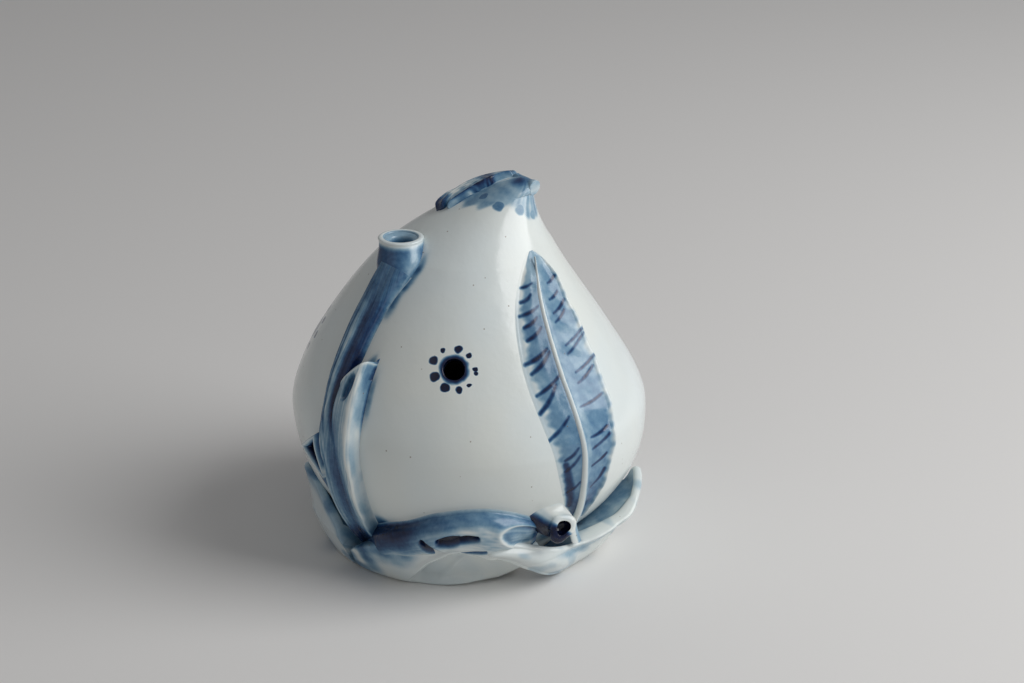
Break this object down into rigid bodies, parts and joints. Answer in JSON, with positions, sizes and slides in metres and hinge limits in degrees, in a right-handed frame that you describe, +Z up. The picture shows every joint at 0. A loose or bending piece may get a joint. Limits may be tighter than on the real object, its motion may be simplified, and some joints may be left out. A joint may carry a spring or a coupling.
{
  "type": "calligraphy water dropper",
  "caption": "Hollow porcelain water dropper in the shape of a leaning peach, with applied branches and leaves, a spout on its shoulder and an air hole in front.",
  "frame": {"origin": "centre of the flat base, on the surface that it stands on", "axes": "+Z up, -Y towards the front with the air hole, +X towards the side that the tip leans to"},
  "size_m": [0.083, 0.0876, 0.0883],
  "materials": {
    "white_glaze": "glossy bluish-white glaze over white porcelain, with small iron specks",
    "blue_wash_glaze": "cobalt blue wash and brush strokes under the same glossy glaze",
    "unglazed_porcelain": "matt unglazed biscuit"
  },
  "bodies": {
    "root": {"peach_front_shell": "white_glaze", "peach_back_shell": "white_glaze", "floor_disc": "unglazed_porcelain", "peach_tip": "blue_wash_glaze", "spout_tube": "blue_wash_glaze", "main_branch": "blue_wash_glaze", "cut_twig": "blue_wash_glaze", "bud_twig": "blue_wash_glaze", "base_branch": "blue_wash_glaze", "leaf_stub": "blue_wash_glaze", "back_branch": "blue_wash_glaze", "front_leaf": "blue_wash_glaze", "front_leaf_midrib": "white_glaze", "crown_leaf": "blue_wash_glaze", "wreath_leaf_front": "white_glaze", "wreath_leaf_right": "white_glaze", "wreath_leaf_left": "white_glaze", "wreath_leaf_back_right": "white_glaze", "wreath_leaf_back_left": "white_glaze"}
  },
  "joints": []
}
